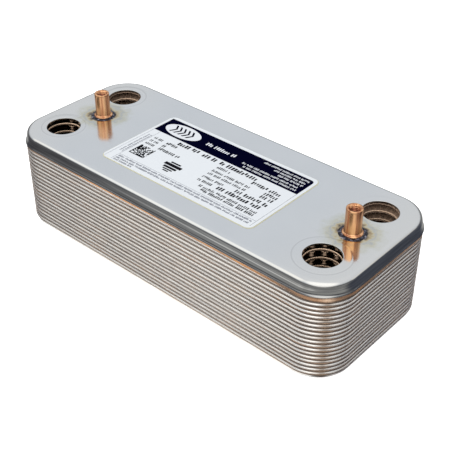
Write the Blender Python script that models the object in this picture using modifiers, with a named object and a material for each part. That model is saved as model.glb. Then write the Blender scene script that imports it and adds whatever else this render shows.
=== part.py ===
"""Brazed plate heat exchanger: a stack of nested steel trays, brazed with copper, under a drawn cover.

Metres, +Z up. The origin is the middle of the base rim: X runs along the length and Y across it.
"""

import math

import bmesh
import bpy

OBJECT_NAME = "plate_heat_exchanger"

# The stack
LENGTH = 0.1904
WIDTH = 0.0770
CORNER_RADIUS = 0.0172
PLATE_COUNT = 19
PLATE_PITCH = 0.0021
PLATE_THICKNESS = 0.0003
SKIRT_SLOPE = 0.2
LIP_STEP = 0.00065
BRAZE_GAP = 0.0001
CORNER_STEPS = 4

# The cover, which closes the stack
COVER_THICKNESS = 0.0009
COVER_SKIRT_HEIGHT = 0.0063
COVER_BEND_RADIUS = 0.0026
COVER_BEND_STEPS = 3
COVER_PORT_SEGMENTS = 16
SEAT_RADIUS = 0.0116
SEAT_RISE = 0.00012

# The ports
PORT_SPACING_X = 0.154
PORT_SPACING_Y = 0.040
PORT_RADIUS = 0.008
PORT_RING_RADIUS = 0.011
PLATE_PORT_SEGMENTS = 12

# The herringbone that is pressed into each channel plate
PRESS_DEPTH = 0.0015
FIELD_LENGTH = 0.116
FIELD_HALF_WIDTH = 0.0325
FOLD_COUNT = 16
FOLD_SWEEP = 0.018
FOLD_RUN_OUT = 0.0025
PLATE_FLOOR_HEIGHT = 0.00635

# The blind end plate at the bottom
END_THICKNESS = 0.001
END_FLOOR_HEIGHT = 0.0071

# The copper left at each seam
SEAM_HEIGHT = 0.0007
SEAM_WIDTH = 0.0002
COVER_SEAM_HEIGHT = 0.0010
COVER_SEAM_WIDTH = 0.0007

# The threaded weld studs on the cover
STUD_LEFT_X = -0.0708
STUD_RIGHT_X = 0.0770
STUD_HEIGHT = 0.0122
STUD_RADIUS = 0.00355
STUD_CHAMFER = 0.0003
STUD_FLANGE_RADIUS = 0.0045
STUD_FLANGE_HEIGHT = 0.0009
THREAD_RADIUS = 0.0021
THREAD_FLOOR = 0.0030
DRILL_TIP = 0.0010
COUNTERSINK = 0.0006
STUD_STEPS = 20
BEAD_RADIUS = 0.0061
BEAD_HEIGHT = 0.0007

# The rating label
LABEL_LENGTH = 0.0888
LABEL_WIDTH = 0.0478
LABEL_SHIFT_X = 0.0004
LABEL_SHIFT_Y = -0.0020
LABEL_THICKNESS = 0.0002
LABEL_CORNER_RADIUS = 0.003

# Worked out from the above; a lip's inner edge is lower than its outer one by LIP_DROP times the sheet
COVER_LIP_Z = (PLATE_COUNT + 1) * PLATE_PITCH
COVER_TOP_Z = COVER_LIP_Z + COVER_SKIRT_HEIGHT
PLATE_STEP = SKIRT_SLOPE * PLATE_PITCH
LIP_DROP = math.sin(math.atan(SKIRT_SLOPE))
MERGE_DISTANCE = 0.00001

STEEL = ("stainless_steel", (0.62, 0.63, 0.64), 0.28)
COPPER_BRAZE = ("braze_copper", (0.55, 0.29, 0.15), 0.4)
STUD_COPPER = ("stud_copper", (0.78, 0.42, 0.24), 0.3)
WELD_OXIDE = ("weld_oxide", (0.06, 0.06, 0.075), 0.55)
LABEL_FILM = ("label_film", (0.9, 0.9, 0.9), 0.45)


def clear_scene():
    for obj in list(bpy.data.objects):
        bpy.data.objects.remove(obj, do_unlink=True)


def material(name, colour, roughness, metallic=1.0):
    made = bpy.data.materials.get(name)
    if made:
        return made
    made = bpy.data.materials.new(name)
    made.use_nodes = True
    made.diffuse_color = (*colour, 1.0)
    shader = made.node_tree.nodes["Principled BSDF"]
    shader.inputs["Base Color"].default_value = (*colour, 1.0)
    shader.inputs["Roughness"].default_value = roughness
    shader.inputs["Metallic"].default_value = metallic
    return made


def place(name, mesh, finish, location=(0.0, 0.0, 0.0), turn=0.0):
    """One named object in the part's collection, under its empty."""
    obj = bpy.data.objects.new(name, mesh)
    if not mesh.materials:
        mesh.materials.append(material(*finish))
    obj.location = location
    obj.rotation_euler[2] = turn
    obj.parent = bpy.data.objects[OBJECT_NAME]
    bpy.data.collections[OBJECT_NAME].objects.link(obj)
    return obj


def thicken(obj, thickness):
    """Sheet metal: the surface is its outer face, and the thickness grows inwards."""
    solidify = obj.modifiers.new("Sheet", "SOLIDIFY")
    solidify.thickness = thickness
    solidify.offset = -1.0
    solidify.use_even_offset = True
    return solidify


def turn_profile(obj, steps):
    """Turns a profile about Z, shaded smooth between its corners."""
    screw = obj.modifiers.new("Turned", "SCREW")
    screw.steps = steps
    screw.render_steps = steps
    screw.use_merge_vertices = True
    screw.merge_threshold = MERGE_DISTANCE
    screw.use_normal_calculate = False
    screw.use_smooth_shade = True
    return screw


def rounded_outline(length, width, radius, steps):
    """Points round a rectangle with round corners, anticlockwise."""
    centre_x = length / 2 - radius
    centre_y = width / 2 - radius
    points = []
    for quarter, (side_x, side_y) in enumerate(((1, 1), (-1, 1), (-1, -1), (1, -1))):
        for step in range(steps + 1):
            angle = math.pi / 2 * (quarter + step / steps)
            x = side_x * centre_x + radius * math.cos(angle)
            y = side_y * centre_y + radius * math.sin(angle)
            points.append((x, y))
    return points


def stack_outline(inset):
    """The cover lip's outline, moved in: every tray shares its corner centres."""
    return rounded_outline(
        LENGTH - 2 * inset, WIDTH - 2 * inset, CORNER_RADIUS - inset, CORNER_STEPS
    )


def circle_points(x, y, radius, segments):
    """Points round a circle, anticlockwise from +X."""
    angles = [2 * math.pi * step / segments for step in range(segments)]
    return [(x + radius * math.cos(a), y + radius * math.sin(a)) for a in angles]


def add_loop(bm, points, z):
    """A closed loop of edges at one height, as its vertices in order."""
    verts = [bm.verts.new((x, y, z)) for x, y in points]
    for a, b in zip(verts, verts[1:] + verts[:1]):
        bm.edges.new((a, b))
    return verts


def loop_edges(bm, verts):
    return [bm.edges.get((a, b)) for a, b in zip(verts, verts[1:] + verts[:1])]


def join_loops(bm, loops):
    """Skins the bands between each loop and the next, corner to corner."""
    for first, second in zip(loops, loops[1:]):
        for corner in range(len(first)):
            bm.faces.new(
                (first[corner - 1], first[corner], second[corner], second[corner - 1])
            )


def finish_mesh(bm, name, face_up=True):
    """Makes the normals agree, with the floor facing up on an open sheet."""
    bmesh.ops.recalc_face_normals(bm, faces=bm.faces)
    if face_up:
        highest = max(bm.faces, key=lambda face: face.calc_area() * abs(face.normal.z))
        if highest.normal.z < 0:
            bmesh.ops.reverse_faces(bm, faces=bm.faces)
    mesh = bpy.data.meshes.new(name)
    bm.to_mesh(mesh)
    bm.free()
    return mesh


def port_centres():
    for side_x in (-1, 1):
        for side_y in (-1, 1):
            yield side_x * PORT_SPACING_X / 2, side_y * PORT_SPACING_Y / 2


def fold_lines(bm, z):
    """The herringbone's fold lines. Each is a V with its tip on the centre line, and level at its ends."""
    pitch = (FIELD_LENGTH - FOLD_SWEEP) / (FOLD_COUNT - 1)
    sweep_rate = FOLD_SWEEP / FIELD_HALF_WIDTH
    full_y = FIELD_HALF_WIDTH - FOLD_RUN_OUT
    lines = []
    for index in range(FOLD_COUNT):
        tip_x = -FIELD_LENGTH / 2 + FOLD_SWEEP + index * pitch
        at_field_end = index in (0, FOLD_COUNT - 1)
        depth = 0.0 if at_field_end else math.copysign(PRESS_DEPTH / 2, index % 2 - 0.5)
        line = []
        for y in (-FIELD_HALF_WIDTH, -full_y, 0.0, full_y, FIELD_HALF_WIDTH):
            level = z + depth if abs(y) < FIELD_HALF_WIDTH else z
            line.append(bm.verts.new((tip_x - sweep_rate * abs(y), y, level)))
        lines.append(line)
    return lines


def skin_folds(bm, lines):
    """Faces between the fold lines. Returns the edges round the whole field."""
    for before, after in zip(lines, lines[1:]):
        for span in range(len(before) - 1):
            bm.faces.new((before[span], after[span], after[span + 1], before[span + 1]))
    field = {edge for line in lines for vert in line for edge in vert.link_edges}
    return [edge for edge in field if edge.is_boundary]


def channel_plate_mesh():
    """A tray with a sloping skirt: two ports on a raised ring, two on a sunk one, and a herringbone."""
    bm = bmesh.new()
    floor_z = PLATE_FLOOR_HEIGHT
    half_press = PRESS_DEPTH / 2
    lip = add_loop(bm, stack_outline(LIP_STEP), 0.0)
    shoulder = add_loop(bm, stack_outline(LIP_STEP + SKIRT_SLOPE * floor_z), floor_z)
    join_loops(bm, [lip, shoulder])
    outlines = loop_edges(bm, shoulder) + skin_folds(bm, fold_lines(bm, floor_z))
    rings = []
    for x, y in port_centres():
        outer = circle_points(x, y, PORT_RING_RADIUS, PLATE_PORT_SEGMENTS)
        ring = add_loop(bm, outer, floor_z)
        outlines += loop_edges(bm, ring)
        rings.append((ring, x, y))
    bmesh.ops.triangle_fill(bm, use_beauty=True, use_dissolve=False, edges=outlines)
    for ring, x, y in rings:
        rise = math.copysign(half_press, y)
        for vert in ring:
            vert.co.z += rise
        inner = circle_points(x, y, PORT_RADIUS, PLATE_PORT_SEGMENTS)
        join_loops(bm, [ring, add_loop(bm, inner, floor_z + rise)])
    return finish_mesh(bm, "channel_plate")


def bend_profile():
    """The cover's section, from its flat top round the bend to its lip, as (inset, z)."""
    slope_angle = math.atan(SKIRT_SLOPE)
    turn = math.pi / 2 - slope_angle
    run_in = COVER_BEND_RADIUS * math.tan(turn / 2)
    centre_inset = SKIRT_SLOPE * COVER_SKIRT_HEIGHT + run_in
    centre_z = COVER_TOP_Z - COVER_BEND_RADIUS
    points = []
    for step in range(COVER_BEND_STEPS + 1):
        angle = math.pi / 2 - turn * step / COVER_BEND_STEPS
        inset = centre_inset - COVER_BEND_RADIUS * math.cos(angle)
        points.append((inset, centre_z + COVER_BEND_RADIUS * math.sin(angle)))
    points.append((0.0, COVER_LIP_Z))
    return points


def cover_mesh():
    """A drawn cap with a rounded edge and a slightly raised flat seat round each port."""
    bm = bmesh.new()
    loops = [add_loop(bm, stack_outline(inset), z) for inset, z in bend_profile()]
    join_loops(bm, loops)
    outlines = loop_edges(bm, loops[0])
    seat_z = COVER_TOP_Z + SEAT_RISE
    seat_section = (
        (SEAT_RADIUS, COVER_TOP_Z),
        (SEAT_RADIUS - SEAT_RISE, seat_z),
        (PORT_RADIUS, seat_z),
    )
    for x, y in port_centres():
        seat = [
            add_loop(bm, circle_points(x, y, radius, COVER_PORT_SEGMENTS), z)
            for radius, z in seat_section
        ]
        join_loops(bm, seat)
        outlines += loop_edges(bm, seat[0])
    bmesh.ops.triangle_fill(bm, use_beauty=True, use_dissolve=False, edges=outlines)
    return finish_mesh(bm, "cover_plate")


def end_plate_mesh():
    """The blind tray that closes the stack and stands on its rim, which is upright at the foot."""
    bm = bmesh.new()
    foot_inset = LIP_STEP + PLATE_STEP
    shoulder_inset = foot_inset + SKIRT_SLOPE * (END_FLOOR_HEIGHT - PLATE_PITCH)
    foot = add_loop(bm, stack_outline(foot_inset), 0.0)
    knee = add_loop(bm, stack_outline(foot_inset), PLATE_PITCH)
    shoulder = add_loop(bm, stack_outline(shoulder_inset), END_FLOOR_HEIGHT)
    join_loops(bm, [foot, knee, shoulder])
    bm.faces.new(shoulder)
    return finish_mesh(bm, "end_plate")


def seam_mesh(name, width, height):
    """A thin copper fillet in the corner under a lip; its top is at z = 0."""
    bm = bmesh.new()
    skirt_inset = LIP_STEP + PLATE_STEP - BRAZE_GAP
    corners = (
        (skirt_inset, 0.0),
        (skirt_inset - width, 0.0),
        (skirt_inset - SKIRT_SLOPE * height, -height),
    )
    loops = [add_loop(bm, stack_outline(inset), z) for inset, z in corners]
    join_loops(bm, loops + loops[:1])
    return finish_mesh(bm, name, face_up=False)


def profile_mesh(name, points, closed=False):
    """An open or closed profile in the XZ plane, for turning about Z."""
    ends = list(zip(range(len(points) - 1), range(1, len(points))))
    if closed:
        ends.append((len(points) - 1, 0))
    mesh = bpy.data.meshes.new(name)
    mesh.from_pydata([(x, 0.0, z) for x, z in points], ends, [])
    return mesh


def stud_profile():
    """From the drill point up the thread, over the end and down the outside to the foot."""
    throat = THREAD_RADIUS + COUNTERSINK
    return (
        (0.0, THREAD_FLOOR - DRILL_TIP),
        (THREAD_RADIUS, THREAD_FLOOR),
        (THREAD_RADIUS, STUD_HEIGHT - COUNTERSINK),
        (throat, STUD_HEIGHT),
        (STUD_RADIUS - STUD_CHAMFER, STUD_HEIGHT),
        (STUD_RADIUS, STUD_HEIGHT - STUD_CHAMFER),
        (STUD_RADIUS, STUD_FLANGE_HEIGHT),
        (STUD_FLANGE_RADIUS, STUD_FLANGE_HEIGHT - STUD_CHAMFER),
        (STUD_FLANGE_RADIUS, BRAZE_GAP),
        (0.0, BRAZE_GAP),
    )


def bead_profile():
    """The weld's flash, heaped against the stud's flange."""
    inner = STUD_FLANGE_RADIUS + BRAZE_GAP
    return (
        (inner, BEAD_HEIGHT),
        ((inner + BEAD_RADIUS) / 2, BEAD_HEIGHT),
        (BEAD_RADIUS, BRAZE_GAP),
        (inner, BRAZE_GAP),
    )


def add_stack(plates):
    """The channel plates, each second one turned half a turn so that the herringbones cross."""
    for number in range(1, PLATE_COUNT + 1):
        name = f"channel_plate_{number:02d}"
        turn = 0.0 if number % 2 else math.pi
        obj = place(name, plates, STEEL, (0.0, 0.0, number * PLATE_PITCH), turn)
        thicken(obj, PLATE_THICKNESS)


def add_seams():
    """A seam under every channel plate's lip, and a broader one under the cover's."""
    thin = seam_mesh("braze_seam", SEAM_WIDTH, SEAM_HEIGHT)
    broad = seam_mesh("cover_braze_seam", COVER_SEAM_WIDTH, COVER_SEAM_HEIGHT)
    for number in range(1, PLATE_COUNT + 2):
        under_cover = number > PLATE_COUNT
        sheet = COVER_THICKNESS if under_cover else PLATE_THICKNESS
        top_z = number * PLATE_PITCH - LIP_DROP * sheet - BRAZE_GAP
        mesh = broad if under_cover else thin
        place(f"braze_seam_{number:02d}", mesh, COPPER_BRAZE, (0.0, 0.0, top_z))


def add_studs():
    stud = profile_mesh("weld_stud", stud_profile())
    bead = profile_mesh("weld_bead", bead_profile(), closed=True)
    for side, x in (("left", STUD_LEFT_X), ("right", STUD_RIGHT_X)):
        foot = (x, 0.0, COVER_TOP_Z)
        turn_profile(place(f"weld_stud_{side}", stud, STUD_COPPER, foot), STUD_STEPS)
        turn_profile(place(f"weld_bead_{side}", bead, WELD_OXIDE, foot), STUD_STEPS)


def add_label():
    """A plain film with round corners, stuck on the cover between the ports."""
    bm = bmesh.new()
    points = rounded_outline(LABEL_LENGTH, LABEL_WIDTH, LABEL_CORNER_RADIUS, CORNER_STEPS)
    bm.faces.new(add_loop(bm, points, 0.0))
    mesh = finish_mesh(bm, "rating_label")
    mesh.materials.append(material(*LABEL_FILM, metallic=0.0))
    top_z = COVER_TOP_Z + BRAZE_GAP + LABEL_THICKNESS
    label = place("rating_label", mesh, LABEL_FILM, (LABEL_SHIFT_X, LABEL_SHIFT_Y, top_z))
    thicken(label, LABEL_THICKNESS)


def main():
    clear_scene()
    collection = bpy.data.collections.new(OBJECT_NAME)
    bpy.context.scene.collection.children.link(collection)
    collection.objects.link(bpy.data.objects.new(OBJECT_NAME, None))
    thicken(place("cover_plate", cover_mesh(), STEEL), COVER_THICKNESS)
    thicken(place("end_plate", end_plate_mesh(), STEEL), END_THICKNESS)
    add_stack(channel_plate_mesh())
    add_seams()
    add_studs()
    add_label()


main()
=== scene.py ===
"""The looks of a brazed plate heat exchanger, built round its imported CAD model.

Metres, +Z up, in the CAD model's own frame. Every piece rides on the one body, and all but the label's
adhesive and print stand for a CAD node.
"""

import math
import random

import bmesh
import bpy
from mathutils import Matrix, Vector, noise


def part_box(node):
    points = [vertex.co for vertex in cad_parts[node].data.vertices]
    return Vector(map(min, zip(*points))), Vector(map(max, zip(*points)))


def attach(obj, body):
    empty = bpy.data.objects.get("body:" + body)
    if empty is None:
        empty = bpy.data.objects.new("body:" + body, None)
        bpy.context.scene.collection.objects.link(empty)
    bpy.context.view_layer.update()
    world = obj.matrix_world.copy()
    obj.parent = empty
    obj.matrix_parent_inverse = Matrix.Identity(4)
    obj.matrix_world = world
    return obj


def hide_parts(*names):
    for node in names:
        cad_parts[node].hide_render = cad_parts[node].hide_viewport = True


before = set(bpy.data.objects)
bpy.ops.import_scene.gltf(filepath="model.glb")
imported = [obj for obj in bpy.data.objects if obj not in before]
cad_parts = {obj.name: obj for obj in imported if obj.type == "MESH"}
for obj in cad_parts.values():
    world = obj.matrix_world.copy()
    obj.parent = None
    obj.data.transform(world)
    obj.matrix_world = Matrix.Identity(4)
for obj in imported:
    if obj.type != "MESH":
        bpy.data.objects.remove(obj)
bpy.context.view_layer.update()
BODY = "root"
MM = 0.001

# ---- Driving dimensions: from the frame where it has them ----
COVER_LOW, COVER_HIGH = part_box("cover_plate")
LABEL_LOW, LABEL_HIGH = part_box("rating_label")
STUD_BOXES = {side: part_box(f"weld_stud_{side}") for side in ("left", "right")}
BEAD_BOXES = {side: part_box(f"weld_bead_{side}") for side in ("left", "right")}
STUD_TOP = STUD_BOXES["right"][1].z
PLATE_COUNT = sum(name.startswith("channel_plate_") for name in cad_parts)
FIRST_PLATE_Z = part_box("channel_plate_01")[0].z
LAST_PLATE_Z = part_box(f"channel_plate_{PLATE_COUNT:02d}")[0].z

LENGTH = COVER_HIGH.x - COVER_LOW.x
WIDTH = COVER_HIGH.y - COVER_LOW.y
PITCH = (LAST_PLATE_Z - FIRST_PLATE_Z) / (PLATE_COUNT - 1)
CORNER_RADIUS = 17.2 * MM
SLOPE = 0.2
PLATE_INSET = 0.65 * MM
PLATE_SHEET = 0.3 * MM
PLATE_FLOOR = 6.35 * MM
PLATE_BEND = 1.2 * MM
HALF_PRESS = 0.75 * MM
PORT_X = 77.0 * MM
PORT_Y = 20.0 * MM
PORT_RADIUS = 8.0 * MM

COVER_SHEET = 0.9 * MM
COVER_LIP_Z = (PLATE_COUNT + 1) * PITCH
SEAT_RISE = 0.12 * MM
COVER_TOP_Z = COVER_HIGH.z - SEAT_RISE
COVER_BEND = 2.6 * MM
END_SHEET = 1.0 * MM
END_FLOOR = 7.1 * MM

CORNER_STEPS = 20
LONG_STEPS = 26
SHORT_STEPS = 8
PORT_STEPS = 96


def middle_of(box):
    """The x and y of the middle of a node's box."""
    low, high = box
    return (low.x + high.x) / 2, (low.y + high.y) / 2


# ---- Nodes and materials ----
def connect(tree, node, **inputs):
    """Sets or links a node's inputs. A name has _ for each space, and i0, i1, ... are input numbers."""
    for name, value in inputs.items():
        key = int(name[1:]) if name[1:].isdigit() else name.replace("_", " ")
        if isinstance(value, bpy.types.NodeSocket):
            tree.links.new(value, node.inputs[key])
        else:
            node.inputs[key].default_value = value


def add(tree, kind, settings=None, **inputs):
    """A new node with its settings and inputs."""
    made = tree.nodes.new(kind)
    for name, value in (settings or {}).items():
        setattr(made, name, value)
    connect(tree, made, **inputs)
    return made


def new_material(name):
    """A material with its Principled shader: (material, tree, shader)."""
    made = bpy.data.materials.new(name)
    made.use_nodes = True
    return made, made.node_tree, made.node_tree.nodes["Principled BSDF"]


def place_of(tree, scale=(1.0, 1.0, 1.0)):
    """The object's own coordinates, scaled; a piece's object sits at the origin."""
    coordinates = add(tree, "ShaderNodeTexCoord").outputs["Object"]
    return add(tree, "ShaderNodeMapping", Vector=coordinates, Scale=scale).outputs[0]


def axes_of(tree):
    """A point's x, y and z, as three sockets."""
    return add(tree, "ShaderNodeSeparateXYZ", i0=place_of(tree)).outputs


def grain(tree, scale, detail=3.0, stretch=(1.0, 1.0, 1.0)):
    """Noise from 0 to 1. The scale is in patches per metre; a small stretch draws them out on that axis."""
    place = place_of(tree, stretch)
    made = add(tree, "ShaderNodeTexNoise", Vector=place, Scale=scale, Detail=detail, Roughness=0.55)
    return made.outputs["Fac"]


def remap(tree, value, low, high, to_low=0.0, to_high=1.0, smooth=False):
    """The value moved from the range low to high to another one, and held at its ends."""
    settings = {"interpolation_type": "SMOOTHSTEP" if smooth else "LINEAR"}
    made = add(tree, "ShaderNodeMapRange", settings, i0=value, i1=low, i2=high, i3=to_low, i4=to_high)
    return made.outputs[0]


def calc(tree, operation, first, second=0.0):
    return add(tree, "ShaderNodeMath", {"operation": operation}, i0=first, i1=second).outputs[0]


def blend(tree, share, first, second, kind="MIX"):
    """Colours mixed by a share. A colour is a socket or three numbers."""
    made = add(tree, "ShaderNodeMix", {"data_type": "RGBA", "blend_type": kind}, i0=share)
    for socket, colour in ((made.inputs[6], first), (made.inputs[7], second)):
        if isinstance(colour, bpy.types.NodeSocket):
            tree.links.new(colour, socket)
        else:
            socket.default_value = (*colour, 1.0)
    return made.outputs[2]


def ramp(tree, value, stops):
    """A colour ramp from (place, colour) stops."""
    made = add(tree, "ShaderNodeValToRGB", Fac=value)
    band = made.color_ramp
    while len(band.elements) < len(stops):
        band.elements.new(0.5)
    for element, (position, colour) in zip(band.elements, stops):
        element.position = position
        element.color = (*colour, 1.0)
    return made.outputs["Color"]


def bump(tree, height, strength, distance):
    made = add(tree, "ShaderNodeBump", Height=height, Strength=strength, Distance=distance)
    return made.outputs["Normal"]


def distance_to(tree, x, y):
    """How far a point is from the upright line at x, y."""
    flat = add(tree, "ShaderNodeVectorMath", {"operation": "MULTIPLY"}, i0=place_of(tree), i1=(1, 1, 0))
    away = add(tree, "ShaderNodeVectorMath", {"operation": "DISTANCE"}, i0=flat.outputs[0], i1=(x, y, 0))
    return away.outputs["Value"]


TINT_START = 5.0 * MM
TINT_END = 14.5 * MM
TINT_WANDER = 1.9 * MM
TINT_RINGS = (
    (0.0, (0.12, 0.10, 0.10)),
    (0.09, (0.34, 0.27, 0.20)),
    (0.19, (0.72, 0.58, 0.36)),
    (0.31, (0.86, 0.80, 0.62)),
    (0.43, (0.72, 0.73, 0.72)),
    (0.56, (0.88, 0.85, 0.72)),
    (0.78, (0.95, 0.95, 0.91)),
    (1.0, (1.0, 1.0, 1.0)),
)


def heat_tint(tree, base, x, y):
    """The oxide rings that welding leaves: brown at the flash, then straw, grey and pale straw."""
    wander = remap(tree, grain(tree, 260.0, 4.0), 0.3, 0.7, -TINT_WANDER, TINT_WANDER)
    away = calc(tree, "ADD", distance_to(tree, x, y), wander)
    rings = ramp(tree, remap(tree, away, TINT_START, TINT_END), TINT_RINGS)
    return blend(tree, 1.0, base, rings, "MULTIPLY")


# Grey circles of painted shade round three of the ports, where shallow embossed rings would shade, as (x, y,
# radius).
EMBOSS_SHADE_RINGS = (
    (PORT_X, -PORT_Y, 12.2 * MM),
    (-PORT_X, -PORT_Y, 10.5 * MM),
    (-PORT_X, PORT_Y, 10.8 * MM),
)


def emboss_shade_ring(tree, base, x, y, radius):
    """A thin grey circle of painted shade on the base colour."""
    away = calc(tree, "ABSOLUTE", calc(tree, "SUBTRACT", distance_to(tree, x, y), radius))
    line = remap(tree, away, 0.05 * MM, 0.45 * MM, 0.30, 0.0, smooth=True)
    return blend(tree, line, base, (0.36, 0.36, 0.37))


def cover_steel():
    """Rolled sheet, warmer at its ends, tinted at the studs, with painted shade darkening its skirt, which
    has drawing lines.
    """
    made, tree, shader = new_material("cover_steel")
    along, _, height = axes_of(tree)
    colour = blend(tree, grain(tree, 38.0, 3.0), (0.60, 0.62, 0.64), (0.655, 0.67, 0.68))
    ends = remap(tree, calc(tree, "ABSOLUTE", along), 50 * MM, 95 * MM, 0.0, 0.6, smooth=True)
    colour = blend(tree, ends, colour, (0.69, 0.675, 0.64))
    # Painted shade: faint grey circles round three ports, standing in for the shading of embossed rings.
    for x, y, radius in EMBOSS_SHADE_RINGS:
        colour = emboss_shade_ring(tree, colour, x, y, radius)
    for box in STUD_BOXES.values():
        colour = heat_tint(tree, colour, *middle_of(box))
    # Painted shade: below the bend the skirt's colour is darkened towards grey, and the drawing lines go
    # over it.
    skirt = remap(tree, height, COVER_TOP_Z - 1.0 * MM, COVER_TOP_Z - 2.2 * MM)
    colour = blend(tree, calc(tree, "MULTIPLY", skirt, 0.45), colour, (0.30, 0.30, 0.29))
    lines = remap(tree, grain(tree, 2200.0, 2.0, (0.02, 0.02, 1.0)), 0.42, 0.62, 0.0, 0.65)
    colour = blend(tree, calc(tree, "MULTIPLY", skirt, lines), colour, (0.20, 0.205, 0.215))
    rolled = remap(tree, grain(tree, 900.0, 2.0, (0.05, 1.0, 1.0)), 0.3, 0.7, 0.08, 0.13)
    smear = remap(tree, grain(tree, 60.0, 4.0, (0.6, 1.0, 1.0)), 0.45, 0.7, 0.0, 0.06)
    connect(
        tree,
        shader,
        Base_Color=colour,
        Metallic=1.0,
        Roughness=calc(tree, "ADD", rolled, smear),
        Normal=bump(tree, grain(tree, 120.0, 2.0), 0.05, 0.02 * MM),
    )
    return made


def deep_inside(tree):
    """1 on what lies well inside the outer walls, and 0 at the walls."""
    along, across, _ = axes_of(tree)
    in_x = remap(tree, calc(tree, "ABSOLUTE", along), LENGTH / 2 - 3 * MM, LENGTH / 2 - 6 * MM)
    in_y = remap(tree, calc(tree, "ABSOLUTE", across), WIDTH / 2 - 3 * MM, WIDTH / 2 - 6 * MM)
    return calc(tree, "MULTIPLY", in_x, in_y)


def tray_steel():
    """Bright sheet with copper flashed over it: warm at the lips, brown in the gaps and inside. The brown is
    part copper and part painted shade: under each lip, darker still at the +X end, and inside, darker in the
    front ports than the rear.
    """
    made, tree, shader = new_material("tray_steel")
    along, across, height = axes_of(tree)
    streak = grain(tree, 150.0, 4.0, (1.0, 1.0, 9.0))
    outside = blend(tree, remap(tree, streak, 0.35, 0.7), (0.88, 0.865, 0.84), (0.83, 0.775, 0.72))
    # Copper with painted shade: the upper part of each band, under the lip above, is turned brown, and
    # painted darker still towards the +X end.
    above_lip = calc(tree, "FLOORED_MODULO", height, PITCH)
    gap_copper_shade = remap(tree, above_lip, 0.86 * MM, 1.06 * MM, smooth=True)
    shaded_end = remap(tree, along, 40 * MM, 84 * MM, smooth=True)
    gap_copper_shade_tone = blend(tree, shaded_end, (0.42, 0.38, 0.345), (0.20, 0.165, 0.145))
    outside = blend(tree, gap_copper_shade, outside, gap_copper_shade_tone)
    # Painted shade: the insides are dark brown copper, painted darker in the front ports than in the rear.
    rear = remap(tree, across, -8 * MM, 8 * MM)
    inside = blend(tree, grain(tree, 300.0, 3.0), (0.08, 0.055, 0.04), (0.22, 0.155, 0.11))
    inside = blend(tree, rear, inside, (0.34, 0.235, 0.17))
    within = deep_inside(tree)
    dulled = calc(tree, "MULTIPLY", calc(tree, "MULTIPLY", rear, within), 0.6)
    connect(
        tree,
        shader,
        Base_Color=blend(tree, within, outside, inside),
        Metallic=calc(tree, "SUBTRACT", remap(tree, within, 0.0, 1.0, 0.82, 1.0), dulled),
        Roughness=remap(tree, streak, 0.3, 0.7, 0.2, 0.32),
        Normal=bump(tree, grain(tree, 300.0, 2.0), 0.05, 0.02 * MM),
    )
    return made


def braze_copper(name, dull, bright, from_share, to_share):
    """Copper that ran and froze: dull in most places, bright in some, and brightest towards the front."""
    made, tree, shader = new_material(name)
    _, across, _ = axes_of(tree)
    patch = remap(tree, grain(tree, 38.0, 3.0, (1.0, 1.0, 6.0)), from_share, to_share)
    front = remap(tree, across, -12 * MM, -32 * MM, 0.35, 1.0)
    colour = blend(tree, calc(tree, "MULTIPLY", front, patch), dull, bright)
    fine = grain(tree, 240.0, 2.0)
    dark = tuple(0.6 * part for part in dull)
    colour = blend(tree, remap(tree, fine, 0.55, 0.75, 0.0, 0.35), colour, dark)
    # Partly copper's own colour and partly painted highlight: deep inside, the copper is painted bright and
    # less metallic, so that the port beads look lit.
    within = deep_inside(tree)
    connect(
        tree,
        shader,
        Base_Color=blend(tree, within, colour, (0.80, 0.58, 0.41)),
        Metallic=remap(tree, within, 0.0, 1.0, 0.8, 0.45),
        Roughness=remap(tree, fine, 0.3, 0.7, 0.28, 0.5),
        Normal=bump(tree, fine, 0.1, 0.05 * MM),
    )
    return made


def stud_copper():
    """Drawn copper coat with lengthwise streaks, with painted shade darkening it down the bore."""
    made, tree, shader = new_material("stud_copper")
    _, _, height = axes_of(tree)
    streak = grain(tree, 800.0, 2.0, (1.0, 1.0, 0.02))
    tone = grain(tree, 350.0, 3.0, (1.0, 1.0, 0.15))
    colour = blend(tree, remap(tree, streak, 0.38, 0.60), (0.42, 0.17, 0.085), (0.92, 0.52, 0.27))
    colour = blend(tree, remap(tree, tone, 0.5, 0.75), colour, (0.46, 0.20, 0.11))
    # Painted shade: the colour darkens down the bore.
    deep = remap(tree, height, STUD_TOP - 0.8 * MM, STUD_TOP - 2.0 * MM)
    left, right = (distance_to(tree, *middle_of(box)) for box in STUD_BOXES.values())
    bore = remap(tree, calc(tree, "MINIMUM", left, right), 3.0 * MM, 2.8 * MM)
    connect(
        tree,
        shader,
        Base_Color=blend(tree, calc(tree, "MULTIPLY", deep, bore), colour, (0.30, 0.11, 0.065)),
        Metallic=1.0,
        Roughness=remap(tree, streak, 0.3, 0.7, 0.24, 0.34),
        Normal=bump(tree, streak, 0.25, 0.03 * MM),
    )
    return made


OXIDE_TONES = (
    (0.34, (0.018, 0.017, 0.020)),
    (0.50, (0.045, 0.043, 0.055)),
    (0.60, (0.15, 0.15, 0.19)),
    (0.70, (0.50, 0.48, 0.52)),
)


def weld_oxide():
    """Scaly weld flash, black and slate with a violet cast."""
    made, tree, shader = new_material("weld_oxide")
    lump = grain(tree, 900.0, 4.0)
    connect(
        tree,
        shader,
        Base_Color=ramp(tree, lump, OXIDE_TONES),
        Metallic=0.9,
        Roughness=remap(tree, lump, 0.3, 0.7, 0.5, 0.28),
        Normal=bump(tree, grain(tree, 2400.0, 3.0), 0.5, 0.1 * MM),
    )
    return made


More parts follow.
